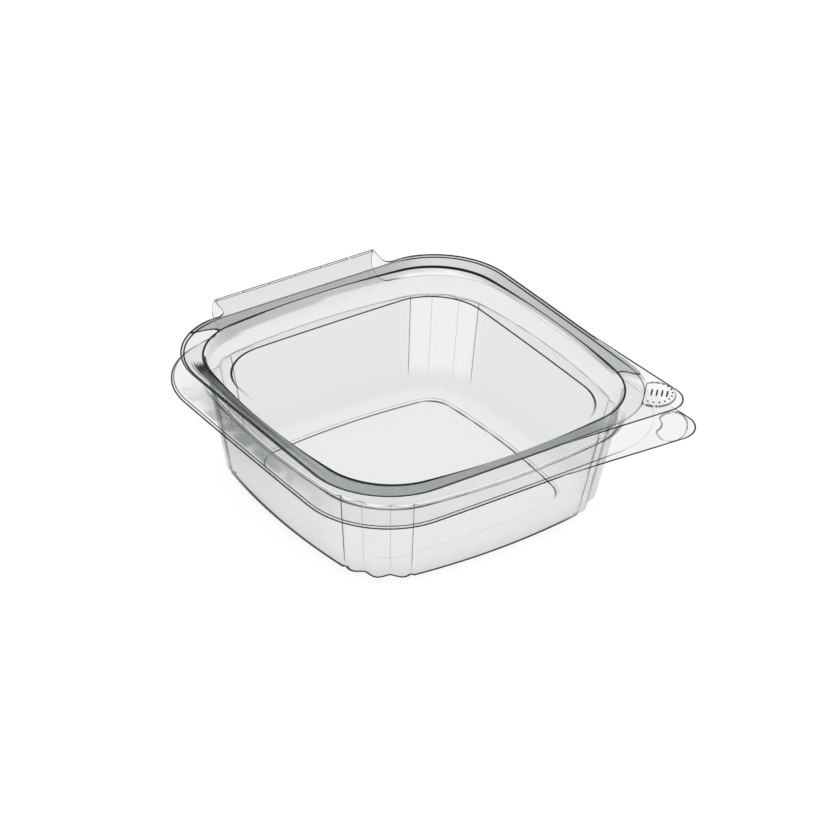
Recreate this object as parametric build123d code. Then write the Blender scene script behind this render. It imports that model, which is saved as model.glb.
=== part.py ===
from build123d import *
import os
from collections import namedtuple
from math import cos, radians, sin, sqrt, tan

# A square clear food pack with a hinged lid, thermoformed in one go from a single sheet of film.
# The sheet folds at a perforated line, so its two halves are modelled as one tray and one lid.
# Millimetres, +Z up, the front is -Y, the fold is at +Y and the pull tabs are at the +X -Y corner.
# The origin is the middle of the face that the pack stands on.

# A ring is a square seen from above: half its width, its corner radius, and the radius of the
# long arc in which each side bows outwards.
Ring = namedtuple("Ring", "half corner bow")

# Film
film = 0.4
overrun = 2.0
quarter_turns = 4
quarter_deg = 90

# How far the sides of each kind of outline bow outwards: the radius of their long arc
wall_bow = 228.0
flange_bow = 3000.0
floor_bow = 250.0
panel_bow = 2000.0

# Tray: the standing face is at zero, and other heights are those of the film's upper face
seat_height = 32.3
seat_width = 1.2
tray_mouth_depth = 0.8
tray_mouth_corner = 25.6
tray_wall_half = 57.5
tray_wall_corner = 22.6
tray_wall_draft_deg = 10.7
tray_foot_corner = 20.6
tray_foot_radius = 4.0
tray_foot_steps = 3
tray_flange_width = 6.3
tray_flange_corner = 28.6
tray_lip_reach = 1.0
tray_lip_drop = 0.9

# Flutes that stiffen each corner of the tray
flute_count = 3
flute_depth = 1.8
flute_lobe_share = 0.2
flute_valley_share = 0.165

# The tray stands on a panel that is pressed down in the middle of its floor
floor_margin = 9.2
floor_panel_corner = 8.3
floor_panel_drop = 0.8
floor_panel_slope = 0.8

# Lid: its plug drops into the tray's mouth and rests on the seat
plug_clearance = 0.8
plug_seat_gap = 0.15
plug_flare = 0.9
plug_foot_corner = 24.9
plug_mouth_corner = 25.0
lid_flange_rise = 8.9
lid_flange_width = 3.8
lid_flange_corner = 27.1
lid_lip_reach = 1.1
lid_lip_rise = 0.6
lid_groove_width = 1.5
panel_foot_corner = 23.9
panel_slope_width = 7.2
panel_edge_corner = 19.7
panel_rise = 2.75

# Fold: two strips of the sheet rise from the back edges and meet at the perforated line
shoulder_out = 5.5
shoulder_rise = 4.4
fold_lean = 1.3
fold_rise = 2.0
fold_gap = 0.35
strip_half_width = 32.5
strip_root_radius = 3.0
strip_bend_radius = 3.5

# Pull tabs, filling the corner of each flange; insets are measured along the diagonal that runs
# through the tabs, from the point where their straight edges would meet
tab_side_start = 14.0
tab_turn_deg = -45
tray_tab_out = 3.8
tray_tab_radius = 9.0
lid_tab_out = 2.9
lid_tab_radius = 8.6
recess_inset = 12.7
recess_half_length = 5.2
recess_half_width = 9.4
recess_depth = 0.8
recess_bite_offset = 9.4
recess_bite_radius = 6.6
pad_inset = 11.9
pad_half_length = 3.9
pad_half_width = 8.4
pad_rise = 0.8
grip_rise = 0.35
grip_bar_count = 4
grip_bar_length = 4.6
grip_bar_width = 0.8
grip_bar_pitch = 1.7

# Heights and outlines that follow from the sizes above
tray_flange_height = seat_height + tray_mouth_depth
lid_flange_height = tray_flange_height + lid_flange_rise
plug_height = seat_height + plug_seat_gap + film
panel_height = plug_height + panel_rise
tray_mouth = Ring(tray_wall_half + seat_width, tray_mouth_corner, wall_bow)
tray_bend = Ring(tray_mouth.half + tray_flange_width, tray_flange_corner, flange_bow)
plug_foot = Ring(tray_mouth.half - film - plug_clearance, plug_foot_corner, wall_bow)
plug_mouth = Ring(plug_foot.half + plug_flare, plug_mouth_corner, wall_bow)
lid_bend = Ring(plug_mouth.half + lid_flange_width, lid_flange_corner, flange_bow)
panel_foot = Ring(plug_foot.half - lid_groove_width, panel_foot_corner, wall_bow)
panel_edge = Ring(panel_foot.half - panel_slope_width, panel_edge_corner, panel_bow)
shoulder_reach = tray_bend.half + tray_lip_reach + shoulder_out
shoulder_height = tray_flange_height + shoulder_rise
fold_reach = shoulder_reach - fold_lean
fold_height = lid_flange_height + fold_rise
tray_tab_reach = tray_bend.half + tray_lip_reach + tray_tab_out
lid_tab_reach = lid_bend.half + lid_lip_reach + lid_tab_out


def grown(ring, by):
    """The ring that runs outside another at an even distance."""
    return Ring(ring.half + by, ring.corner + by, ring.bow + by)


def corner_centre(ring):
    """How far along X, and as far along Y, the centre of a corner arc lies."""
    side_centre = ring.half - ring.bow
    return (side_centre + sqrt(2 * (ring.bow - ring.corner) ** 2 - side_centre ** 2)) / 2


def tangent_point(ring):
    """Where the side at +X ends and the corner arc after it starts."""
    centre = corner_centre(ring)
    side_centre = ring.half - ring.bow
    slope = Vector(centre - side_centre, centre).normalized()
    return Vector(centre, centre) + slope * ring.corner


def turned(edges):
    """One quarter of an outline, repeated for the other three sides of the pack."""
    return [
        edge.rotate(Axis.Z, quarter * quarter_deg)
        for quarter in range(quarter_turns)
        for edge in edges
    ]


def plain_outline(ring, height):
    """Four bowed sides and four round corners, as a closed wire."""
    meet = tangent_point(ring)
    side = ThreePointArc((meet.X, -meet.Y), (ring.half, 0), (meet.X, meet.Y))
    reach = corner_centre(ring) + ring.corner / sqrt(2)
    corner = ThreePointArc((meet.X, meet.Y), (reach, reach), (meet.Y, meet.X))
    return Wire(turned([side, corner])).moved(Location((0, 0, height)))


def fluted_outline(ring, height):
    """The same square, with lobes and valleys in place of each corner arc."""
    meet = tangent_point(ring)
    centre = corner_centre(ring)
    start_deg = Vector(meet.X - centre, meet.Y - centre).get_angle(Vector(1, 0))
    span_deg = quarter_deg - 2 * start_deg
    lobe_deg = span_deg * flute_lobe_share
    valley_deg = span_deg * flute_valley_share
    notch_deg = (span_deg - flute_count * lobe_deg - (flute_count - 1) * valley_deg) / 2

    def place(angle_deg, inset):
        radius = ring.corner - inset
        return (centre + radius * cos(radians(angle_deg)), centre + radius * sin(radians(angle_deg)))

    middle_inset = flute_depth / 2
    edges = [ThreePointArc((meet.X, -meet.Y), (ring.half, 0), (meet.X, meet.Y))]
    angle = start_deg + notch_deg
    edges.append(Line((meet.X, meet.Y), place(angle, middle_inset)))
    for lobe in range(flute_count):
        if lobe:
            valley_end = angle + valley_deg
            dip = place(angle + valley_deg / 2, flute_depth)
            edges.append(ThreePointArc(place(angle, middle_inset), dip, place(valley_end, middle_inset)))
            angle = valley_end
        lobe_end = angle + lobe_deg
        crest = place(angle + lobe_deg / 2, 0)
        edges.append(ThreePointArc(place(angle, middle_inset), crest, place(lobe_end, middle_inset)))
        angle = lobe_end
    edges.append(Line(place(angle, middle_inset), (meet.Y, meet.X)))
    return Wire(turned(edges)).moved(Location((0, 0, height)))


def stack(wires):
    """A solid whose straight-sided layers run from each outline to the next."""
    return Solid.make_loft(wires, ruled=True)


def block(ring, low, high):
    """An upright block with a ring's outline."""
    return stack([plain_outline(ring, low), plain_outline(ring, high)])


def flange(bend, height, lip_reach, lip_drop):
    """A flat plate of film out to the bend, with a sloping lip around it."""
    lip = grown(bend, lip_reach)
    lip_top = height - lip_drop
    body = stack([plain_outline(lip, lip_top), plain_outline(bend, height)])
    body += block(lip, lip_top - film, lip_top)
    return body - stack([plain_outline(lip, lip_top - film), plain_outline(bend, height - film)])


def raised_flange(bend, height, lip_reach, lip_rise):
    """A flat plate of film out to the bend, with a lip around it that slopes up."""
    lip = grown(bend, lip_reach)
    lip_top = height + lip_rise
    body = stack([
        plain_outline(bend, height - film),
        plain_outline(lip, lip_top - film),
        plain_outline(lip, lip_top),
    ])
    return body - stack([plain_outline(bend, height), plain_outline(lip, lip_top)])


def tab_plate(lip, reach, radius, top):
    """The plate that fills the flange's corner out to the rounded tip of a pull tab."""
    points = [(lip.half, -tab_side_start), (reach, -reach), (tab_side_start, -lip.half), (0, 0)]
    outline = make_face(Polyline(*points, close=True))
    tip = outline.vertices().sort_by(Axis((0, 0, 0), (1, -1, 0)))[-1]
    outline = fillet(tip, radius)
    plate = extrude(Pos(0, 0, top - film) * outline, film)
    return plate - block(lip, top - film - overrun, top + overrun)


def on_tab(sketch, height):
    """A sketch drawn with X along the tabs' diagonal, turned into place at a height."""
    return Pos(0, 0, height) * Rot(0, 0, tab_turn_deg) * sketch


def strip(points, bend_radii, root):
    """A strip of film along a line in the YZ plane, with a round root where it leaves an edge."""
    line = FilletPolyline(*points, radius=bend_radii)
    section = Plane.YZ * trace(line, film)
    width = strip_half_width + strip_root_radius
    sheet = extrude(section, width, both=True)
    shoulder = root + strip_root_radius
    plan = Pos(0, shoulder / 2) * Rectangle(2 * width, shoulder)
    plan += Pos(0, shoulder) * Rectangle(2 * strip_half_width, shoulder)
    for side in (-1, 1):
        plan -= Pos(side * width, shoulder) * Circle(strip_root_radius)
    return sheet & extrude(plan, fold_height + overrun)


def strip_room(lip, bend, top):
    """The stretch of lip that gives way to the strip."""
    width = 2 * strip_half_width + 2 * strip_root_radius
    depth = lip.half - bend.half + overrun
    return Pos(0, bend.half + depth / 2, top) * Box(width, depth, 2 * overrun)


def foot_centre():
    """Where the round of the tray's foot has its centre: out from the middle, and up."""
    draft = radians(tray_wall_draft_deg)
    height = floor_panel_drop + tray_foot_radius
    round_end = height - tray_foot_radius * sin(draft)
    wall_end = tray_wall_half - (seat_height - round_end) * tan(draft)
    return wall_end - tray_foot_radius * cos(draft), height


def wall_sections(offset):
    """Outlines of the tray's wall from its foot to its seat, on one face of the film."""
    draft = radians(tray_wall_draft_deg)
    radius = tray_foot_radius - offset
    centre, centre_height = foot_centre()
    foot_half = centre + tray_foot_radius * cos(draft)

    def section(half, height):
        share = (tray_wall_half - half) / (tray_wall_half - foot_half)
        corner = tray_wall_corner + (tray_foot_corner - tray_wall_corner) * min(share, 1)
        corner -= max(foot_half - half, 0)
        return fluted_outline(Ring(half, corner - offset, wall_bow), height)

    wires = []
    for step in range(tray_foot_steps + 1):
        turn = radians(quarter_deg - tray_wall_draft_deg) * step / tray_foot_steps
        half = centre + radius * sin(turn)
        wires.append(section(half, centre_height - radius * cos(turn)))
    wires.append(section(tray_wall_half - offset / cos(draft), seat_height))
    return wires


def floor_step(low, offset):
    """The pressed-down panel of the tray's floor, from its lower end at a height upwards."""
    half, _ = foot_centre()
    edge = grown(Ring(half - floor_margin, floor_panel_corner, floor_bow), offset)
    top = low + floor_panel_drop
    return stack([plain_outline(edge, low), plain_outline(grown(edge, floor_panel_slope), top)])


def tray_body():
    """The tray's walls and floor, open at the top."""
    outer = stack(wall_sections(0)) + floor_step(0, 0)
    return outer - stack(wall_sections(film)) - floor_step(film, -film)


def tray_rim():
    """The seat around the tray's mouth, its flange and its lip."""
    lip = grown(tray_bend, tray_lip_reach)
    rim = flange(tray_bend, tray_flange_height, tray_lip_reach, tray_lip_drop)
    rim -= strip_room(lip, tray_bend, tray_flange_height)
    rim += block(grown(tray_mouth, film), seat_height - film, tray_flange_height)
    return rim - block(tray_mouth, seat_height, tray_flange_height + overrun)


def tray_tab():
    """The lower pull tab, with a finger recess pressed down into it."""
    lip = grown(tray_bend, tray_lip_reach)
    top = tray_flange_height - tray_lip_drop
    plate = tab_plate(lip, tray_tab_reach, tray_tab_radius, top)

    centre = tray_tab_reach * sqrt(2) - recess_inset

    def kidney(offset):
        sketch = Pos(centre, 0) * Ellipse(recess_half_length + offset, recess_half_width + offset)
        return sketch - Pos(centre - recess_bite_offset, 0) * Circle(recess_bite_radius - offset)

    bulge = extrude(on_tab(kidney(film), top - recess_depth - film), recess_depth)
    recess = extrude(on_tab(kidney(0), top - recess_depth), recess_depth + overrun)
    return plate + bulge - recess


def tray_strip():
    """The half of the fold that stands up from the tray."""
    level = tray_flange_height - film / 2
    points = [
        (tray_bend.half - film, level),
        (tray_bend.half + tray_lip_reach, level),
        (shoulder_reach, shoulder_height),
        (shoulder_reach, (shoulder_height + fold_height) / 2),
        (fold_reach + fold_gap / 2, fold_height),
    ]
    return strip(points, [tray_lip_reach, strip_bend_radius, strip_bend_radius], tray_bend.half)


def base_tray():
    walls = tray_body() - block(tray_mouth, seat_height, tray_flange_height)
    rim = tray_rim() - stack(wall_sections(film))
    return walls + rim + tray_tab() + tray_strip()


def lid_plug():
    """The shallow cup that drops into the tray's mouth, with a raised panel in it."""
    under = plug_height - film
    cup = stack([
        plain_outline(grown(plug_foot, film), under),
        plain_outline(grown(plug_mouth, film), lid_flange_height),
    ])
    hollow = stack([
        plain_outline(plug_foot, plug_height),
        plain_outline(plug_mouth, lid_flange_height),
    ])
    panel = stack([
        plain_outline(panel_foot, plug_height),
        plain_outline(panel_edge, panel_height),
    ])
    underside = stack([
        plain_outline(grown(panel_foot, -film / 2), under),
        plain_outline(grown(panel_edge, -film / 2), panel_height - film),
    ])
    return cup - (hollow - panel) - underside


def lid_rim():
    """The lid's flange and lip, open over the plug."""
    lip = grown(lid_bend, lid_lip_reach)
    rim = raised_flange(lid_bend, lid_flange_height, lid_lip_reach, lid_lip_rise)
    rim -= strip_room(lip, lid_bend, lid_flange_height)
    return rim - block(plug_mouth, lid_flange_height - overrun, lid_flange_height + overrun)


def lid_tab():
    """The upper pull tab, with a raised pad that carries grip bars."""
    lip = grown(lid_bend, lid_lip_reach)
    top = lid_flange_height + lid_lip_rise
    centre = lid_tab_reach * sqrt(2) - pad_inset
    plate = tab_plate(lip, lid_tab_reach, lid_tab_radius, top)

    def pad(offset):
        return Pos(centre, 0) * Ellipse(pad_half_length + offset, pad_half_width + offset)

    plate += extrude(on_tab(pad(0), top), pad_rise)
    plate -= extrude(on_tab(pad(-film), top - film), pad_rise)
    grips = Sketch()
    for bar in range(grip_bar_count):
        shift = (bar - (grip_bar_count - 1) / 2) * grip_bar_pitch
        grips += Pos(centre, shift) * SlotOverall(grip_bar_length, grip_bar_width)
    return plate + extrude(on_tab(grips, top + pad_rise), grip_rise)


def lid_strip():
    """The half of the fold that slopes up from the lid."""
    level = lid_flange_height - film / 2
    points = [
        (lid_bend.half - film, level),
        (lid_bend.half + lid_lip_reach, level),
        (fold_reach - fold_gap, fold_height - fold_gap),
    ]
    return strip(points, [lid_lip_reach], lid_bend.half)


def lid():
    return lid_plug() + lid_rim() + lid_tab() + lid_strip()


os.makedirs("parts", exist_ok=True)
export_step(base_tray(), "parts/base_tray.step")
export_step(lid(), "parts/lid.step")
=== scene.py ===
from math import cos, pi, radians, sin, sqrt

import bmesh
import bpy
import numpy as np
from mathutils import Matrix, Vector


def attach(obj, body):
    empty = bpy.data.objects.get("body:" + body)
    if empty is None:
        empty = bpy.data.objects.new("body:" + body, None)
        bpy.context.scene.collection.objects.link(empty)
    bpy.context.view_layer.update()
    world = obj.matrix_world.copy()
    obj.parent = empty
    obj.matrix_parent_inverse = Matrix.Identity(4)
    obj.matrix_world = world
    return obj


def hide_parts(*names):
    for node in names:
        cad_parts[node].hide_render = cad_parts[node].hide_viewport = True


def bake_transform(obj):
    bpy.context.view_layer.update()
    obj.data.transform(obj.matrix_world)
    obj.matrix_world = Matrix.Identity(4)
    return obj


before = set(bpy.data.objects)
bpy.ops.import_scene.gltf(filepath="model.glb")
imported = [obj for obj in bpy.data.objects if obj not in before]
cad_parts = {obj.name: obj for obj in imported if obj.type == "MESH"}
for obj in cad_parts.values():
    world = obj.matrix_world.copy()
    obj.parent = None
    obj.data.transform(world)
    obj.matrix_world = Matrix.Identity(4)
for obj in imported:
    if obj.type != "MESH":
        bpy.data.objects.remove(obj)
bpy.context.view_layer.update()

# The photograph's view: a long lens, above the front left corner of the pack. The pack is worked out
# in millimetres and put into the scene in metres.
mm = 0.001
view_turn = radians(-36.18)
view_tilt = radians(32.03)
view_roll = radians(2.057)
view_distance = 1301.8
view_target = Vector((-2.80, -8.57, 28.30))
sensor_width = 36.0
lens_length = 170.0
nearest_seen = 0.05
farthest_seen = 20
film_layers_seen = 64

level = cos(view_tilt)
forward = Vector((-sin(view_turn) * level, cos(view_turn) * level, -sin(view_tilt)))
level_right = Vector((cos(view_turn), sin(view_turn), 0))
level_up = level_right.cross(forward)
right = level_right * cos(view_roll) + level_up * sin(view_roll)
up = level_up * cos(view_roll) - level_right * sin(view_roll)
camera_data = bpy.data.cameras.new("camera")
camera_data.sensor_width = sensor_width
camera_data.lens = lens_length
camera_data.clip_start = nearest_seen
camera_data.clip_end = farthest_seen
camera = bpy.data.objects.new("camera", camera_data)
turn = Matrix((right, up, -forward)).transposed().to_4x4()
camera.matrix_world = Matrix.Translation((view_target - forward * view_distance) * mm) @ turn
bpy.context.scene.collection.objects.link(camera)
bpy.context.scene.camera = camera
bpy.context.scene.view_settings.view_transform = "Standard"
bpy.context.scene.cycles.transparent_max_bounces = film_layers_seen

# The studio: a white floor that keeps the pack's faint shadow, a white room behind it, and three
# large soft lamps. The camera sees both floor and room as plain white, and the film mirrors no lamp.
white = (1, 1, 1, 1)
room_light = 0.75
floor_half = 3.0
floor_paint = 0.9
shadow_share = 0.12

# Each lamp's name, its place and width in metres, and its power in watts.
lamps = (
    ("key", (-0.6, -0.7, 1.1), 0.9, 9.0),
    ("fill", (0.9, -0.4, 0.8), 1.0, 5.0),
    ("back", (0.3, 1.0, 0.9), 1.0, 5.0),
)


class Value:
    """A shader socket that can be used in sums, and that makes the Math nodes for them."""

    def __init__(self, tree, socket):
        self.tree = tree
        self.socket = socket

    def node(self, kind, settings=(), inputs=(), output=0):
        """Any other node: its type, its settings, and the values or links of its sockets."""
        made = self.tree.nodes.new(kind)
        for name, value in dict(settings).items():
            setattr(made, name, value)
        for name, value in dict(inputs).items():
            if isinstance(value, Value):
                self.tree.links.new(value.socket, made.inputs[name])
            else:
                made.inputs[name].default_value = value
        return Value(self.tree, made.outputs[output] if made.outputs else None)

    def math(self, operation, first, second, clamp=False):
        """A Math node with this operation on two values."""
        settings = {"operation": operation, "use_clamp": clamp}
        return self.node("ShaderNodeMath", settings, {0: first, 1: second})

    def __add__(self, other):
        return self.math("ADD", self, other)

    def __sub__(self, other):
        return self.math("SUBTRACT", self, other)

    def __mul__(self, other):
        return self.math("MULTIPLY", self, other)

    def __rmul__(self, other):
        return self.math("MULTIPLY", other, self)

    def __pow__(self, other):
        return self.math("POWER", self, other)

    def clamped(self):
        """The value itself, kept between 0 and 1."""
        return self.math("ADD", self, 0.0, clamp=True)


def started(holder):
    """The emptied node tree of a material or world."""
    holder.use_nodes = True
    holder.node_tree.nodes.clear()
    return Value(holder.node_tree, None)


def seen_plainly(tree):
    """1 where the camera sees a surface, straight or through the film, and 0 for other light."""
    path = tree.node("ShaderNodeLightPath").socket.node.outputs
    kinds = ("Is Camera Ray", "Is Glossy Ray", "Is Transmission Ray")
    straight, mirrored, through = (Value(tree.tree, path[kind]) for kind in kinds)
    return (straight + mirrored + through).clamped()


world = bpy.data.worlds.new("room")
bpy.context.scene.world = world
room = started(world)
strength = seen_plainly(room) * (1 - room_light) + room_light
light = room.node("ShaderNodeBackground", {}, {"Color": white, "Strength": strength})
room.node("ShaderNodeOutputWorld", {}, {"Surface": light})

for name, place, width, power in lamps:
    lamp = bpy.data.lights.new(name, "AREA")
    lamp.shape = "DISK"
    lamp.size = width
    lamp.energy = power
    holder = bpy.data.objects.new(name, lamp)
    holder.location = place
    holder.rotation_euler = (-Vector(place)).to_track_quat("-Z", "Y").to_euler()
    holder.visible_camera = False
    holder.visible_glossy = False
    bpy.context.scene.collection.objects.link(holder)

floor_mesh = bpy.data.meshes.new("floor")
floor_signs = (-1, -1), (1, -1), (1, 1), (-1, 1)
floor_corners = [(x * floor_half, y * floor_half, 0) for x, y in floor_signs]
floor_mesh.from_pydata(floor_corners, [], [(0, 1, 2, 3)])
floor = bpy.data.objects.new("floor", floor_mesh)
bpy.context.scene.collection.objects.link(floor)
floor_mesh.materials.append(bpy.data.materials.new("white_floor"))
paint = started(floor_mesh.materials[0])
matt = paint.node("ShaderNodeBsdfDiffuse", {}, {"Color": (floor_paint, floor_paint, floor_paint, 1)})
plain = paint.node("ShaderNodeEmission", {}, {"Color": white, "Strength": 1.0})
plain_share = seen_plainly(paint) * (1 - shadow_share)
mix = paint.node("ShaderNodeMixShader", {}, {0: plain_share, 1: matt, 2: plain})
paint.node("ShaderNodeOutputMaterial", {}, {"Surface": mix})

# The tray: the lower half of one sheet of clear polyester, warmed and drawn into a mould. It is a
# square cup with fluted corners, bowed walls, a pressed panel in its floor, a seat and a flange, and
# a lip, half of the fold and the lower pull tab run out from that flange.
film_thickness = 0.2
weld_distance = 0.000003

# The film's tone says how grey it is: partly its own grey, most at the rims, where it was hardly
# drawn, and partly painted shade and painted light. Every tight bend and cut edge shows as a painted
# dark line, which stands in for the shade where light is bent at the film's bends and edges.
film_pale = (0.17, 0.19, 0.19, 1)
film_dark = (0.004, 0.005, 0.006, 1)
film_rough = 0.25
film_index = 1.57
dark_rough = 0.7
dark_shine = 0.1
glancing_tone = 0.15
glancing_power = 4.0
edge_start = 0.9
edge_gain = 9.0
edge_share = 0.22

film_material = bpy.data.materials.new("clear_film")
film = started(film_material)
tone = film.node("ShaderNodeAttribute", {"attribute_name": "tone"}, {}, "Fac")
line = film.node("ShaderNodeAttribute", {"attribute_name": "line"}, {}, "Fac")
facing = film.node("ShaderNodeLayerWeight", {}, {"Blend": 0.5}, "Facing")
alpha = (tone + glancing_tone * facing ** glancing_power).clamped()
clear = film.node("ShaderNodeBsdfPrincipled", {}, {
    "Base Color": film_pale, "Alpha": alpha, "Roughness": film_rough, "IOR": film_index,
})
dark = film.node("ShaderNodeBsdfPrincipled", {}, {
    "Base Color": film_dark, "Roughness": dark_rough, "Specular IOR Level": dark_shine,
})
share = (line + edge_share * ((facing - edge_start) * edge_gain).clamped()).clamped()
mix = film.node("ShaderNodeMixShader", {}, {0: share, 1: clear, 2: dark})
film.node("ShaderNodeOutputMaterial", {}, {"Surface": mix})


def grid_faces(rows, columns, first, closed):
    """Four-sided faces between neighbouring rows and columns, wound to face up when the rows run
    outwards and the columns anticlockwise."""
    starts = np.arange(columns if closed else columns - 1)
    row, column = np.meshgrid(np.arange(rows - 1), starts, indexing="ij")
    beside = (column + 1) % columns
    inner, outer = row * columns, (row + 1) * columns
    corners = inner + column, outer + column, outer + beside, inner + beside
    return np.stack(corners, -1).reshape(-1, 4) + first


def film_piece(name, patches, thickness):
    """One piece of film from patches of its middle surface, in millimetres. Each patch is a grid of
    places, its tone, the darkness of its lines, and whether its columns close. The patches are
    welded where they meet and given the film's thickness."""
    places, tones, lines, faces, first = [], [], [], [], 0
    for place, tone, line, closed in patches:
        rows, columns = place.shape[:2]
        places.append(place.reshape(-1, 3) * mm)
        tones.append(np.broadcast_to(tone, (rows, columns)).reshape(-1))
        lines.append(np.broadcast_to(line, (rows, columns)).reshape(-1))
        faces.append(grid_faces(rows, columns, first, closed))
        first += rows * columns
    mesh = bpy.data.meshes.new(name)
    mesh.from_pydata(np.concatenate(places), [], np.concatenate(faces).tolist())
    for label, values in (("tone", tones), ("line", lines)):
        layer = mesh.attributes.new(label, "FLOAT", "POINT")
        layer.data.foreach_set("value", np.clip(np.concatenate(values), 0, 1).astype(np.float32))
    shape = bmesh.new()
    shape.from_mesh(mesh)
    bmesh.ops.remove_doubles(shape, verts=shape.verts, dist=weld_distance)
    bmesh.ops.dissolve_degenerate(shape, edges=shape.edges, dist=weld_distance)
    shape.to_mesh(mesh)
    shape.free()
    mesh.polygons.foreach_set("use_smooth", np.ones(len(mesh.polygons), bool))
    mesh.materials.append(film_material)
    piece = bpy.data.objects.new(name, mesh)
    bpy.context.scene.collection.objects.link(piece)
    if thickness:
        wall = piece.modifiers.new("thickness", "SOLIDIFY")
        wall.thickness = thickness * mm
        wall.offset = 0
    return piece


# The whole pack is drawn on squares with bowed sides and round corners. The way round them runs from
# 0 to 4, one unit for each side: 0 is the middle of the right side, 1 of the back with the fold, 2 of
# the left side and 3 of the front. The tabs are at the corner after the front.
fold_side = 1
tab_side = 3
side_share = 0.27
side_steps = 20
corner_steps = 36
left_steps = 72
tab_steps = 104
fold_steps = 60
end_steps = 25
strip_share = 0.86
fillet_share = 0.92

# The flutes, as shares of a corner's arc.
flute_count = 3
flute_depth = 1.8
flute_lobe_share = 0.2
flute_valley_share = 0.165
flute_period = flute_lobe_share + flute_valley_share
flute_notch_share = (1 - flute_count * flute_lobe_share - (flute_count - 1) * flute_valley_share) / 2
crease_half_share = 0.0035
crease_steps = np.array((-1.6, -0.8, 0.8, 1.6))[:, None] * crease_half_share
creases = np.array((flute_notch_share, flute_notch_share + flute_lobe_share + flute_valley_share / 2))


def corner_place(half, corner, bow):
    """How far out the centre of a corner arc lies, and the direction in which the side ends."""
    centre = (half - bow + np.sqrt(2 * (bow - corner) ** 2 - (half - bow) ** 2)) / 2
    return centre, np.arctan2(centre, centre - half + bow)


def outline(half, corner, bow, way):
    """x, y and outward direction along a bowed square: an arc of radius bow on each side, meeting an
    arc of radius corner smoothly at each corner."""
    side = np.floor(way + 0.5)
    along = way - side
    centre, side_end = corner_place(half, corner, bow)
    on_side = np.abs(along) <= side_share
    past = (np.abs(along) - side_share) / (0.5 - side_share)
    angle = np.where(on_side, side_end * along / side_share,
                     np.sign(along) * (side_end + past * (pi / 4 - side_end)))
    x = np.where(on_side, half - bow + bow * np.cos(angle), centre + corner * np.cos(angle))
    y = np.where(on_side, bow * np.sin(angle), np.sign(along) * centre + corner * np.sin(angle))
    turn = side * pi / 2
    return x * np.cos(turn) - y * np.sin(turn), x * np.sin(turn) + y * np.cos(turn), angle + turn


def ways_round():
    """Places along the way round. They lie closer together along the fold's strips, at their ends,
    at the corners where the flange's grey ends, and at the creases beside the flutes."""
    plain = np.linspace(-1, 1, side_steps + 1)[:-1]
    strip = np.linspace(0, strip_share, fold_steps, False)
    end = np.concatenate((strip, np.linspace(strip_share, 1, end_steps)))
    fold = np.concatenate((-end[:0:-1], end[:-1]))
    crease = crease_steps + creases
    crease = np.concatenate((crease, 1 - crease)).ravel()
    ways = []
    for side in range(4):
        ways.append(side + (fold if side == fold_side else plain) * side_share)
        steps = {tab_side: tab_steps, fold_side: left_steps}.get(side, corner_steps)
        corner = np.concatenate((np.linspace(0, 1, steps + 1)[:-1], crease))
        ways.append(side + side_share + corner * (1 - 2 * side_share))
    return np.sort(np.mod(np.concatenate(ways), 4))


flat_end = 0.5
long_run = 2.0


def rounded(knots, reaches, steps):
    """Rows along a polyline whose knots are rounded by true arcs that start at a reach from them.
    The first two columns are the place, and the others follow along. Long straight runs get a row
    near each end, so that they shade as flat. Also gives how far through each bend each row lies,
    one column for each bend, and 0 outside it."""
    knots = np.array(knots, float)
    legs = np.diff(knots, axis=0)
    lengths = np.hypot(legs[:, 0], legs[:, 1])
    units = legs / lengths[:, None]
    no_bend = np.zeros((1, len(reaches)))
    rows, shares, start = [knots[:1]], [no_bend], 0.0
    for bend, (reach, step) in enumerate(zip(reaches, steps)):
        length = lengths[bend] - reach
        if length - start > long_run:
            ends = np.array((start + flat_end, length - flat_end))[:, None]
            rows.append(knots[bend] + units[bend] * ends)
            shares.extend((no_bend, no_bend))
        turn = np.arccos(np.clip(units[bend, :2] @ units[bend + 1, :2], -1, 1))
        share = np.linspace(0, 1, step + 1)[:, None]
        parts = (1 - share) ** 2, 2 * np.cos(turn / 2) * share * (1 - share), share ** 2
        knot = knots[bend + 1]
        corners = knot - reach * units[bend], knot, knot + reach * units[bend + 1]
        rows.append(sum(part * corner for part, corner in zip(parts, corners)) / sum(parts))
        shares.append(np.eye(len(reaches))[bend] * share)
        start = reach
    if lengths[-1] - start > long_run:
        rows.append(knots[-2:-1] + units[-1] * (start + flat_end))
        shares.append(no_bend)
    return np.concatenate(rows + [knots[-1:]]), np.concatenate(shares + [no_bend])


def smooth(value, low, high):
    """0 up to low, 1 from high on, and an even S between them."""
    share = np.clip((value - low) / (high - low), 0, 1)
    return share * share * (3 - 2 * share)


def between(value, low, full, fading, gone):
    """1 from full to fading, 0 before low and from gone on, and an even S between them."""
    return smooth(value, low, full) * (1 - smooth(value, fading, gone))


def swept(rows, way, inset=0):
    """Points of a surface whose rows are outlines: each row gives half width, height, corner radius
    and side radius. The inset draws them in towards the middle."""
    half, height, corner, bow = (rows[:, column][:, None] for column in range(4))
    x, y, angle = outline(half, corner, bow, way[None, :])
    height = np.broadcast_to(height, x.shape)
    return np.stack((x - inset * np.cos(angle), y - inset * np.sin(angle), height), -1)


def in_bend(share, low=0.01, high=0.99):
    """1 in the middle part of a bend and 0 elsewhere."""
    return ((share > low) & (share < high)) * 1.0


fine_steps = 30


def curve(knots, reaches):
    """A finely rounded polyline: how far along it each row is, out, up, and whether in the first
    bend."""
    rows, bends = rounded(knots, reaches, [fine_steps] * len(reaches))
    length = np.concatenate(([0.0], np.cumsum(np.hypot(*np.diff(rows, axis=0).T))))
    return length, rows[:, 0], rows[:, 1], in_bend(bends)[:, 0]


edge_width = 0.32
near_share = 0.3
near_rows = 12
far_rows = 8


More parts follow.
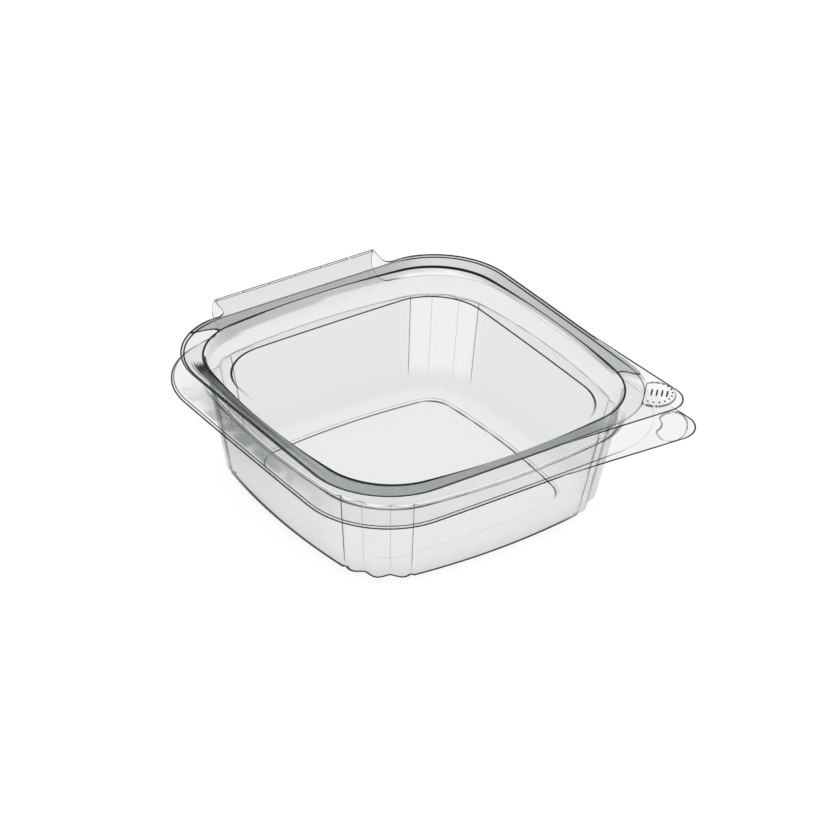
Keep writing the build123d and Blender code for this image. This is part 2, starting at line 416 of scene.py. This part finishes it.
def to_edge(length):
    """Steps along a length, closer near its start, and two close together at its end, where the
    film is cut."""
    close = np.linspace(0, near_share, near_rows, False)
    even = np.concatenate((close, np.linspace(near_share, 1, far_rows)))
    return np.concatenate((even[:, None] * (length - 2 * edge_width), length - edge_width, length))


strip_half_width = 32.5
twist_start = 0.94
twist_end = 1.3


def skirt(start, height, lip, strip, way):
    """The lip and the fold's strip as one sheet. A point lies outwards and upwards from the start by
    the lip's curve, and at the back by the strip's curve, whose length and breadth follow the
    strip's outline with a round fillet at its foot. Between the two the sheet twists evenly. Gives
    places, whether they lie in the first bend of the lip and of the strip, and the strip's weight."""
    lip_length, lip_out, lip_up, lip_bend = lip
    strip_length, strip_out, strip_up, strip_bend = strip
    x, y, angle = outline(*start, way)
    beside = np.abs(way - fold_side) / side_share
    fillet = corner_place(*start)[0] - strip_half_width
    turn = np.clip((beside - fillet_share) / (1 - fillet_share), 0, 1) * pi / 2
    in_fillet = strip_half_width + fillet * (1 - np.cos(turn))
    edge_x = np.where(beside < strip_share, strip_half_width * beside / strip_share,
                      np.where(beside < 1, in_fillet, np.abs(x)))
    down = np.clip((beside - strip_share) / (fillet_share - strip_share), 0, 1)
    foot = lip_out[-1]
    edge = np.where(beside < fillet_share,
                    strip_length[-1] + (foot + fillet - strip_length[-1]) * down,
                    foot + fillet * (1 - np.sin(turn)))
    length = to_edge(edge[None, :])
    share = length / edge
    out = np.interp(length, strip_length, strip_out)
    strip_x = x + (np.sign(x) * edge_x - x) * share
    strip_y = y + (start[0] - y) * share * (beside < 1) + out
    strip_z = np.interp(length, strip_length, strip_up)
    along = to_edge(np.full((1, len(way)), lip_length[-1]))
    out = np.interp(along, lip_length, lip_out)
    lip_x = x + out * np.cos(angle)
    lip_y = y + out * np.sin(angle)
    lip_z = np.interp(along, lip_length, lip_up)
    weight = 1 - smooth(beside, twist_start, twist_end)
    place = np.stack((
        weight * strip_x + (1 - weight) * lip_x,
        weight * strip_y + (1 - weight) * lip_y,
        height + weight * strip_z + (1 - weight) * lip_z,
    ), -1)
    in_lip_bend = np.interp(along, lip_length, lip_bend)
    return place, in_lip_bend, np.interp(length, strip_length, strip_bend), weight


slit_count = 6
tie_half_width = 0.8
cut_dark_at_tie = 0.4
cut_dark_at_slit = 0.6


def fold_line(way):
    """How dark the fold's edge is: the slits of the perforation, lighter at the ties between them."""
    x = (way - fold_side) / (side_share * strip_share)
    turns = np.mod((x + 1) * slit_count / 2 + 0.5, 1) - 0.5
    slit = np.abs(turns) * 2 * strip_half_width / slit_count
    in_slit = smooth(slit, tie_half_width / 2, tie_half_width)
    on_strip = np.abs(way - fold_side) < side_share * strip_share
    return on_strip * (cut_dark_at_tie + cut_dark_at_slit * in_slit)


def on_diagonal(x, y):
    """How far out along the tabs' diagonal a place lies, and how far beside it."""
    return (x - y) / sqrt(2), (x + y) / sqrt(2)


tab_side_start = 14.0
tab_reach = 0.9
tab_rows = 40


def tab_run(edge, corner_out, radius, way):
    """How far the tab's outline lies outside the lip's edge: out to the straight edges that run from
    each side to the corner's point, and to the round of radius that the point has."""
    half = edge[0]
    x, y, angle = outline(*edge, way)
    start = np.array(on_diagonal(x, y))
    course = np.array(on_diagonal(np.cos(angle), np.sin(angle)))
    mirror = np.where(start[1] < 0, -1, 1)
    start[1] *= mirror
    course[1] *= mirror
    foot = on_diagonal(half, -tab_side_start)
    point = (half + corner_out) * sqrt(2)
    lean = np.arctan2(foot[1], point - foot[0])
    across = np.sin(lean) * course[0] + np.cos(lean) * course[1]
    run = (np.sin(lean) * (point - start[0]) - np.cos(lean) * start[1]) / np.maximum(across, 0.1)
    middle = point - radius / np.sin(lean)
    away = start[0] - middle
    ahead = away * course[0] + start[1] * course[1]
    on_round = np.sqrt(np.maximum(ahead ** 2 - away ** 2 - start[1] ** 2 + radius ** 2, 0)) - ahead
    at_tip = start[1] + run * course[1] < radius * np.cos(lean)
    run = np.where(at_tip, on_round, run)
    beside = np.abs(np.mod(way - tab_side - 0.5 + 2, 4) - 2)
    return np.where(beside < tab_reach, np.maximum(run, 0), 0)


def tab_plate(edge, height, run, way):
    """The flat plate of a tab. Each column runs straight outwards from the lip's edge to the tab's
    outline; the rows share out its length evenly, and the last two mark the cut edge."""
    x, y, angle = outline(*edge, way)
    even = np.linspace(0, 1, tab_rows)[:, None]
    rim = np.minimum(edge_width, run / 3)
    out = np.concatenate((even * (run - 2 * rim), [run - rim], [run]))
    return np.stack((x + out * np.cos(angle), y + out * np.sin(angle), np.full(out.shape, height)), -1)


def ellipse_inside(out, beside, centre, length, width):
    """About how far inside an ellipse a place lies; negative outside."""
    share = np.sqrt(((out - centre) / length) ** 2 + (beside / width) ** 2)
    return (1 - share) * (length + width) / 2


def flutes(way):
    """How far the wall is drawn in from the outline: waves of three lobes and two valleys across
    each corner arc, none on the sides. Also where the creases at their ends and in the valleys
    are."""
    along = np.abs(way - np.floor(way + 0.5))
    share = np.clip((along - side_share) / (0.5 - side_share), 0, 1) / 2
    middle = flute_depth / 2
    part = np.mod(share - flute_notch_share, flute_period)
    lobe = middle - middle * np.sin(pi * part / flute_lobe_share)
    valley = middle + middle * np.sin(pi * (part - flute_lobe_share) / flute_valley_share)
    wave = np.where(part < flute_lobe_share, lobe, valley)
    wave = np.where(share < flute_notch_share, middle * share / flute_notch_share, wave)
    return wave, *(np.abs(share - creases[:, None]) < crease_half_share)


light_way = 2.6


def towards_light(way, low, high):
    """0 on the sides that look away from the light and 1 on those that look towards it."""
    return smooth(np.cos((way - light_way) * pi / 2), low, high)


def at_corner(side, reach=0.3):
    """1 at the corner after a side and 0 away from it."""
    return 1 - smooth(np.abs(way - side - 0.5), 0.18, reach)


strip_end_width = 0.004
stipple_rate = 997
stipple_depth = 0.3
way = ways_round()
near = towards_light(way, 0.0, 0.4)
at_tabs = at_corner(tab_side)
at_left = at_corner(fold_side)
at_far_corner = at_corner(0, 0.25)
beside_strip = np.abs(way - fold_side) / side_share - strip_share
beside_strip = smooth(beside_strip, -strip_end_width, strip_end_width)
# The painted dark lines break into dashes along the way round.
stipple = 1 - stipple_depth + stipple_depth * np.sin(stipple_rate * way)

# From the middle of the floor panel to the flange's edge: half width, height, corner radius, side
# radius, share of the flutes, and tone.
panel_height = 0.2
floor_height = 1.0
foot_height = 0.35
foot_top = 7.4
seat_height = 32.1
tray_height = 32.9
panel_tone = 0.05
flat_tone = 0.06
foot_tone = 0.11
wall_tone = 0.088
tray_knots = [
    (0.0, panel_height, 0.0, 0.0, 0, panel_tone),
    (39.03, panel_height, 8.3, 250.0, 0, panel_tone),
    (39.83, floor_height, 9.1, 250.8, 0, panel_tone),
    (46.0, floor_height, 14.4, 228.0, 1, flat_tone),
    (51.9, foot_height, 20.2, 228.0, 1, foot_tone),
    (53.1, foot_top, 20.6, 228.0, 1, wall_tone),
    (57.3, seat_height, 22.4, 228.0, 1, wall_tone),
    (58.9, seat_height, 25.8, 228.2, 0, flat_tone),
    (58.9, tray_height, 25.8, 228.2, 0, flat_tone),
    (64.0, tray_height, 27.6, 2999.0, 0, flat_tone),
]
tray_reaches = [0.35, 0.35, 0.01, 1.8, 0.01, 0.3, 0.3, 0.3]
tray_steps = [3, 3, 1, 12, 1, 4, 3, 3]
tray_rows, tray_bends = rounded(tray_knots, tray_reaches, tray_steps)
tray_inset, end_crease, valley_crease = flutes(way)
tray_place = swept(tray_rows, way, tray_rows[:, 4][:, None] * tray_inset[None, :])
tray_up = tray_rows[:, 1]

# The darkness of the painted dark lines at the tray's bends, which stand in for shade: 0 and 1 are the
# panel's edge, 3 is the foot, 5 is the inner edge of the seat, 6 and 7 are its outer edge. The panel's
# lines are painted darker on the sides that look away from the light, the seat's and the foot's on
# those that look towards it, and most break into dashes. Painted dark creases run down the wall
# beside the flutes.
panel_dark = 0.95
panel_top_dark = 0.2
seat_dark = 0.35
seat_dark_near = 0.6
seat_edge_dark = 0.95
flange_foot_dark = 0.7
foot_dark = 0.9
bend_lines = np.zeros((tray_bends.shape[1], len(way)))
bend_lines[0] = panel_dark * (1 - near) * stipple
bend_lines[1] = panel_top_dark * (1 - near) * stipple
bend_lines[5] = (seat_dark + seat_dark_near * near) * stipple
bend_lines[6] = seat_edge_dark * near
bend_lines[7] = flange_foot_dark * near * stipple
foot_line = in_bend(tray_bends[:, 3], 0.15, 0.8)
foot_line = foot_line[:, None] * foot_dark * near * (1 - at_tabs)
on_wall = smooth(tray_up, 3, 8) * (tray_up < seat_height - 0.2)
at_front = between(way, 2.6, 2.7, 2.8, 2.9)
crease = end_crease * (0.6 + 0.3 * np.maximum(near, at_left) - 0.35 * at_front)
crease = crease + valley_crease * (0.2 + 0.5 * (at_tabs + at_left))
tray_line = in_bend(tray_bends) @ bend_lines + on_wall[:, None] * crease + foot_line

# The tray's tone, with painted shade and painted light: greyer at its foot on the sides that look
# towards the light, on the left of its seat and on its left wall, and paler at the far corner and at
# the front left one.
at_foot = (tray_up < foot_top + 0.6) & (tray_rows[:, 0] > 50)
at_seat = tray_up > seat_height - 0.1
at_front_left = between(way, 2.15, 2.3, 3.25, 3.4)
foot_shade = 0.02 * near
seat_shade = 0.35 * np.exp(-((way - 1.95) / 0.25) ** 2)
left_shade = 0.22 * between(way, 1.52, 1.62, 1.75, 2.2)
wall_shade = left_shade * smooth(tray_up, 8, 26)[:, None] - 0.05 * at_far_corner - 0.03 * at_front_left
tray_tone = tray_rows[:, 5][:, None] + at_foot[:, None] * foot_shade
tray_tone = tray_tone + on_wall[:, None] * wall_shade + at_seat[:, None] * seat_shade

# The tray's lip steps down, and its strip stands up from the flange, leans out and then back in to
# the fold. The outlines of the flange and of the lip: half width, corner radius, side radius.
tray_lip_drop = 0.6
tray_lip_width = 2.0
tray_skirt_tone = 0.075
tray_strip_tone = 0.02
lip_dark = 0.7
cut_dark = 0.85
tray_flange = (64.0, 27.6, 2999.0)
tray_edge = tuple(size + tray_lip_width for size in tray_flange)
tray_lip = curve(
    [(0, 0), (1.1, 0), (1.45, -tray_lip_drop), (tray_lip_width, -tray_lip_drop)], [0.2, 0.2],
)
tray_strip = curve([(0, 0), (2.0, 0), (7.5, 4.6), (7.5, 7.85), (6.375, 11.1)], [0.4, 1.7, 1.4])
skirt_place, lip_bend, _, weight = skirt(tray_flange, tray_height, tray_lip, tray_strip, way)
run = tab_run(tray_edge, 3.8, 9.0, way)
no_tab = 1 - smooth(run, 0, 0.3)
tab_columns = np.flatnonzero(run > 0)
tab_columns = tab_columns[np.argsort(np.mod(way[tab_columns] - tab_side, 4))]
# The lip's bend and its cut edge get painted dark lines, faint on the sides that look away from the
# light and at the tabs.
seen = towards_light(way, -0.5, -0.2) * (1 - 0.85 * at_tabs)
skirt_line = lip_bend * (1 - weight) * lip_dark * seen
skirt_line[-2:] = cut_dark * np.maximum((1 - weight) * seen, weight * beside_strip) * no_tab
skirt_line[-1] += fold_line(way)

# The lower tab has a finger recess: an ellipse with a round bite out of its inner side.
recess_depth = 0.8
recess_centre = 86.0
recess_length = 5.2
recess_width = 9.4
recess_dark = 0.75
bite_centre = 76.6
bite_radius = 6.1
bite_blend = 1.2
bite_blend_depth = 0.35
plate = tab_plate(tray_edge, tray_height - tray_lip_drop, run, way)
out, beside = on_diagonal(plate[..., 0], plate[..., 1])
inside = ellipse_inside(out, beside, recess_centre, recess_length, recess_width)
bite = np.hypot(out - bite_centre, beside) - bite_radius
blend = np.maximum(0, 1 - np.abs(inside - bite) / bite_blend) ** 2
within = np.minimum(inside, bite) - bite_blend_depth * blend
plate[..., 2] -= recess_depth * smooth(within, 0, 0.8)
# A painted dark line marks the recess's edge, and another the tab's cut edge.
plate_line = recess_dark * np.exp(-((within - 0.1) / 0.18) ** 2)
plate_line[-2:] = 1 - smooth(beside[-1], 1, 4) * (1 - smooth(out[-1], 84, 90))

tray = film_piece("tray_film", [
    (tray_place, tray_tone, tray_line, True),
    (skirt_place, tray_skirt_tone + tray_strip_tone * weight, skirt_line, True),
    (plate[:, tab_columns], tray_skirt_tone, plate_line[:, tab_columns], False),
], film_thickness)
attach(tray, "base")
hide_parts("base_tray")

# The lid: the upper half of the same sheet, formed with the tray and folded over onto it. A plug
# with a raised panel fits into the tray's mouth. Around it are a flange with an upturned lip, the
# other half of the fold, and the upper pull tab with its raised pad.
lid_height = 41.8
plug_height = 32.65
plug_panel_height = 35.4
wall_steps = 9
flange_steps = 4
wall_foot = (57.7, plug_height, 25.1, 228.2)
wall_mouth = (58.6, lid_height, 25.2, 228.2)
flange_end = (61.2, lid_height, 26.1, 2999.0)


def spaced(start, end, steps):
    """Evenly spaced knots from one to another, without the last."""
    start, end = np.array(start), np.array(end)
    return [tuple(start + (end - start) * step / steps) for step in range(steps)]


lid_knots = [
    (0.0, plug_panel_height, 0.0, 0.0),
    (48.8, plug_panel_height, 19.7, 2000.0),
    (56.0, plug_height, 23.9, 228.0),
    *spaced(wall_foot, wall_mouth, wall_steps),
    *spaced(wall_mouth, flange_end, flange_steps),
    flange_end,
]
lid_reaches = [0.45, 0.6, 0.8] + [0.01] * (wall_steps - 1) + [0.2] + [0.1] * (flange_steps - 1)
lid_steps = [3, 3, 4] + [1] * (wall_steps - 1) + [8] + [4] * (flange_steps - 1)
lid_rows, lid_bends = rounded(lid_knots, lid_reaches, lid_steps)
lid_place = swept(lid_rows, way)
lid_out = lid_rows[:, 0][:, None]
lid_up = lid_rows[:, 1][:, None]

# The wall under the rim carries painted shade, to a depth and a tone that change on the way round,
# counted from the middle of the right side and negative towards the front: pairs of place and value.
from_right = np.where(way > 2, way - 4, way)
shade_depths = (0.0, 1.6), (0.3, 1.4), (0.5, 0.9), (0.75, 2.0), (1.0, 3.1), (1.3, 4.2), (1.5, 4.4)
shade_tones = (
    (-0.3, 0.0), (-0.22, 0.3), (0.1, 0.3), (0.3, 0.2), (0.5, 0.06), (0.75, 0.2), (1.3, 0.24),
    (1.5, 0.05), (1.56, 0.0),
)
shade_depth = np.interp(from_right, *np.transpose(shade_depths))
shade_tone = np.interp(from_right, *np.transpose(shade_tones))
shaded = smooth(lid_up, lid_height - 0.2 - shade_depth, lid_height + 0.1 - shade_depth) * shade_tone
# More painted shade on the wall: darker on the left side, most on its upper part, and in a narrow band
# at the tabs' corner.
upper_wall = lid_up > 37.3
dim = (0.25 + 0.5 * upper_wall) * between(way, 1.57, 1.6, 1.75, 2.3)
dim = dim + 0.4 * between(way, 3.3, 3.45, 3.55, 3.59)

# The flange's tone on the way round: partly the grey of its thicker film, partly painted shade. Its
# grey parts end in painted dark, askew edges, and it is painted paler on its outer part near the left.
near_left = between(way, 1.6, 1.68, 2.05, 2.35)
left_end = 1.34
left_skew = 0.02
left_skew_place = 1.42
left_skew_reach = 0.2
right_end = 3.7
right_skew = 0.01
right_skew_place = 3.68
right_skew_reach = 0.1
end_dark = 0.95
flange_tones = (
    (0.0, 0.42), (0.25, 0.36), (0.4, 0.24), (0.6, 0.24), (0.75, 0.44), (1.335, 0.48), (1.345, 0.12),
    (1.6, 0.12), (1.68, 0.36), (1.9, 0.46), (3.0, 0.58), (3.22, 0.7), (3.32, 0.1), (3.65, 0.12),
    (3.67, 0.28), (3.695, 0.28), (3.705, 0.45), (4.0, 0.42),
)


def flange_shade(out):
    """The flange's tone, with its painted shade, and the darkness of the painted edges where its grey
    parts end. How far round the edges lie depends on how far out a place is."""
    past = out - wall_mouth[0]
    at_left_end = np.abs(way - left_skew_place) < left_skew_reach
    at_right_end = np.abs(way - right_skew_place) < right_skew_reach
    askew = np.where(at_left_end, way - left_skew * past, way)
    askew = np.where(at_right_end, way + right_skew * past, askew)
    tone = np.interp(askew, *np.transpose(flange_tones))
    tone = tone * (1 - 0.6 * near_left * smooth(out, 59.85, 60.05))
    left_edge = 1 - smooth(np.abs(askew - left_end), 0.003, 0.009)
    right_edge = 1 - smooth(np.abs(askew - right_end), 0.0025, 0.006)
    return tone, end_dark * np.maximum(left_edge, right_edge)


lid_film_tone = 0.06
flange_tone, shade_edge = flange_shade(lid_out)
on_wall = (lid_up > plug_height + 0.05) & (lid_out > 57)
on_flange = smooth(lid_out, 58.55, 58.75) * (lid_up > lid_height - 0.3)
lid_tone = lid_film_tone + on_wall * (shaded + dim) * (1 - on_flange)
lid_tone = lid_tone + on_flange * (flange_tone - lid_film_tone)

# The lid's painted dark lines, which stand in for shade: the panel's edge, darker on the sides that
# look away from the light, the rim, two lines on the left of the flange, and painted shade that makes
# the left part of the wall under the rim nearly black.
bend_lines = np.zeros((lid_bends.shape[1], len(way)))
bend_lines[0] = 1 - towards_light(way, -0.1, 0.35)
rim_bend = lid_bends[:, -flange_steps][:, None]
rim_line = in_bend(rim_bend, 0.15, 0.85) * (1 - np.maximum(at_left, at_tabs))
rim_line = in_bend(rim_bend, 0.4, 0.7) + rim_line
left_line_dark = 0.9
flange_lines = in_bend(lid_bends[:, -2:], 0.2, 0.8).sum(1)[:, None] * left_line_dark * near_left
left_dark = 0.9 - 0.67 * smooth(way, 1.66, 1.8) - 0.23 * smooth(way, 1.85, 2.2)
left_dark = smooth(way, 1.57, 1.6) * left_dark
inner_flange = smooth(way, 1.62, 1.68) * (1 - smooth(lid_out, 59.6, 60.3))
dark_share = 1 - on_flange + on_flange * inner_flange
lid_line = in_bend(lid_bends) @ bend_lines + rim_line + flange_lines
lid_line = lid_line + on_flange * shade_edge + (on_wall & upper_wall) * left_dark * dark_share

# The lid's lip turns up, and its strip slopes up to the fold.
lid_lip_rise = 0.6
lid_lip_width = 2.1
lid_strip_tone = 0.085
lid_strip_dark = 0.85
lid_fold_share = 0.7
lid_flange = (61.2, 26.1, 2999.0)
lid_edge = tuple(size + lid_lip_width for size in lid_flange)
lid_lip = curve([(0, 0), (1.0, 0), (lid_lip_width, lid_lip_rise)], [0.25])
lid_strip = curve([(0, 0), (1.2, 0), (2.4, 0.35), (8.65, 1.85)], [0.25, 0.9])
skirt_place, lip_bend, strip_bend, weight = skirt(lid_flange, lid_height, lid_lip, lid_strip, way)
run = tab_run(lid_edge, 2.9, 8.6, way)
no_tab = 1 - smooth(run, 0, 0.3)
# The lip and the strip carry on the flange's painted shade, its painted dark edges and its two painted
# lines on the left, and their bends and cut edges get painted dark lines.
skirt_shade, shade_edge = flange_shade(lid_flange[0] + to_edge(np.full((1, 1), lid_lip_width)))
skirt_line = lip_bend * (1 - weight) * (1 - 0.6 * at_tabs)
skirt_line = skirt_line + strip_bend * weight * lid_strip_dark * stipple
skirt_line[:-2] += shade_edge[:-2]
skirt_line[(near_rows + 1, near_rows + 4), :] += left_line_dark * near_left
skirt_line[-2:] = np.maximum(1 - weight, weight * beside_strip) * no_tab
skirt_line[-1] += lid_fold_share * fold_line(way)

# The upper tab's pad is an ellipse that ends in a straight side towards the pack.
pad_rise = 0.8
pad_centre = 79.8
pad_beside = 1.6
pad_length = 6.8
pad_width = 7.6
pad_straight = 76.1
pad_dark = 0.85
pad_tone = 0.05
tab_height = lid_height + lid_lip_rise
plate = tab_plate(lid_edge, tab_height, run, way)
plate_line = np.zeros(plate.shape[:2])
# The pad's edge gets a painted dark line, and the tab's cut edge another.
for sheet, sheet_line in ((skirt_place, skirt_line), (plate, plate_line)):
    out, beside = on_diagonal(sheet[..., 0], sheet[..., 1])
    inside = ellipse_inside(out, beside - pad_beside, pad_centre, pad_length, pad_width)
    within = np.minimum(inside, out - pad_straight)
    raised = tab_height + pad_rise * smooth(within, 0, 0.5)
    sheet[..., 2] = np.where(within > 0, np.maximum(sheet[..., 2], raised), sheet[..., 2])
    sheet_line += pad_dark * np.exp(-((within - 0.12) / 0.13) ** 2)
plate_line[-2:] = 1
on_strip = weight * (skirt_place[..., 1] > 62.5)
skirt_tone = (1 - on_strip) * skirt_shade + on_strip * lid_strip_tone

lid = film_piece("lid_film", [
    (lid_place, lid_tone, lid_line, True),
    (skirt_place, skirt_tone, skirt_line, True),
    (plate[:, tab_columns], pad_tone, plate_line[:, tab_columns], False),
], film_thickness)
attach(lid, "lid")
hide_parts("lid")

# The grips on the upper tab's pad: four bars and a ring of dots of the same film. They are pressed
# up from the pad's face by the mould, so that a finger holds the tab.
pad_top = 43.35
grip_rise = 0.35
grip_columns = 16
grip_rows = 6
grip_squareness = 0.7
grip_tone = 0.3
grip_line = 0.7
bar_places = (78.6, 80.3, 82.0, 83.7)
bar_half_width = 0.35
bar_half_length = 2.2
dot_count = 12
dot_radius = 0.35
dot_spread = 1.9
ring_length = 5.6
ring_width = 6.2


def grip(out, beside, length, width):
    """A closed dome on the pad, whose foot is nearly an ellipse. From its top to its foot its reach
    grows with the sine of a quarter turn and its height falls with the cosine; a last row closes it
    at the middle of the foot."""
    turn = np.linspace(0, 2 * pi, grip_columns, False)[None, :]
    rise = np.concatenate((np.linspace(0, pi / 2, grip_rows), [pi]))[:, None]
    ahead = np.sign(np.cos(turn)) * np.abs(np.cos(turn)) ** grip_squareness
    along = ahead * length * np.sin(rise) + out
    across = np.sin(turn) * width * np.sin(rise) + beside
    up = pad_top + grip_rise * np.maximum(np.cos(rise), 0) + 0 * turn
    return np.stack(((along + across) / sqrt(2), (across - along) / sqrt(2), up), -1)


domes = [grip(place, pad_beside, bar_half_width, bar_half_length) for place in bar_places]
for turn in np.linspace(-dot_spread, dot_spread, dot_count):
    out, beside = pad_centre + ring_length * cos(turn), pad_beside + ring_width * sin(turn)
    domes.append(grip(out, beside, dot_radius, dot_radius))
grips = film_piece("pad_grips", [(dome, grip_tone, grip_line, True) for dome in domes], 0)
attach(grips, "lid")

# The ties of the perforation: short bridges of thinned film that the knife leaves between the two
# strips, one between each slit and the next and one at each end.
tie_thickness = 0.2
tie_tone = 0.15
tie_line = 0.3
tie_arch = np.array([(69.9, 43.66), (70.0, 43.74), (70.1, 43.86), (70.2, 43.93)])
ties = []
for place in np.linspace(-1, 1, slit_count + 1) * (strip_half_width - tie_half_width):
    across = place + np.array((-0.5, 0.5))[None, :] * tie_half_width
    bridge = np.stack(np.broadcast_arrays(-across, tie_arch[:, :1], tie_arch[:, 1:]), -1)
    ties.append((bridge, tie_tone, tie_line, False))
ties = film_piece("fold_ties", ties, tie_thickness)
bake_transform(ties)
